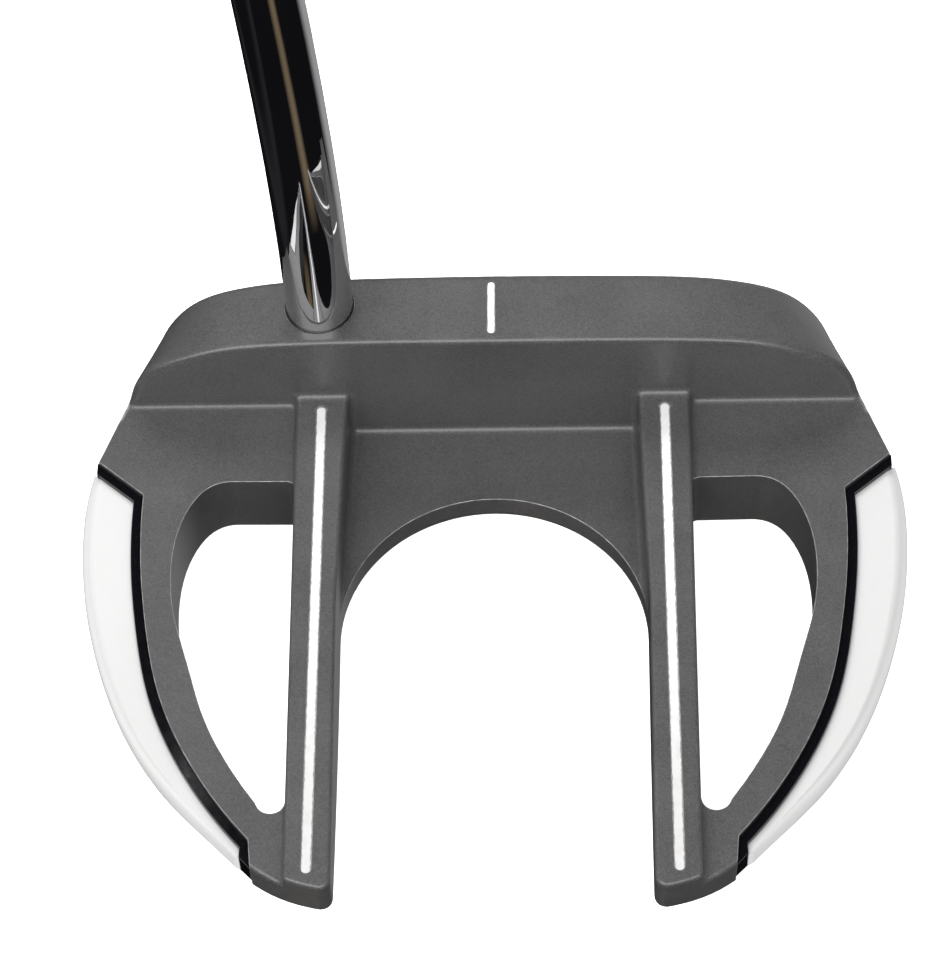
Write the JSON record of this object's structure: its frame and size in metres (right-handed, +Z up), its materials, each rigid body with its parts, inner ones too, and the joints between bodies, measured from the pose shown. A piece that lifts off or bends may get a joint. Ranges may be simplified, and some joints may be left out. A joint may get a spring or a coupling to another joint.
{
  "type": "mallet putter",
  "caption": "Right-handed mallet golf putter: dark head with ball-framing arch, open side windows, white wings, sight lines and a double-bend chromed shaft.",
  "frame": {"origin": "on the flat sole, on the head's middle plane, under the rear wall of the front bar", "axes": "+X towards the toe (heel and shaft at -X), +Y towards the target out of the face, +Z up from the sole; the club stands at its lie with the sole flat"},
  "size_m": [0.3558, 0.1222, 0.8258],
  "materials": {
    "head_paint": "satin dark grey paint with fine metallic grain",
    "insert": "matt moulded urethane",
    "tape": "adhesive tape",
    "wing_white": "gloss white paint",
    "trim_black": "gloss black",
    "screw_steel": "plain steel",
    "line_white": "white paint fill",
    "weight_steel": "turned steel",
    "shaft_chrome": "mirror chrome plate",
    "epoxy": "cured black epoxy",
    "plug": "soft rubber",
    "grip_rubber": "moulded rubber, fine texture",
    "cap_plastic": "moulded end cap"
  },
  "bodies": {
    "root": {"head_body": "head_paint", "face_insert": "insert", "face_insert_tape": "tape", "heel_wing": "wing_white", "toe_wing": "wing_white", "heel_wing_trim": "trim_black", "toe_wing_trim": "trim_black", "heel_wing_screws": "screw_steel", "toe_wing_screws": "screw_steel", "sight_line_heel": "line_white", "sight_line_toe": "line_white", "sight_line_front": "line_white", "sole_weight_heel": "weight_steel", "sole_weight_toe": "weight_steel", "shaft": "shaft_chrome", "shaft_epoxy": "epoxy", "shaft_tip_plug": "plug", "grip": "grip_rubber", "grip_tape": "tape", "grip_cap": "cap_plastic"}
  },
  "joints": []
}
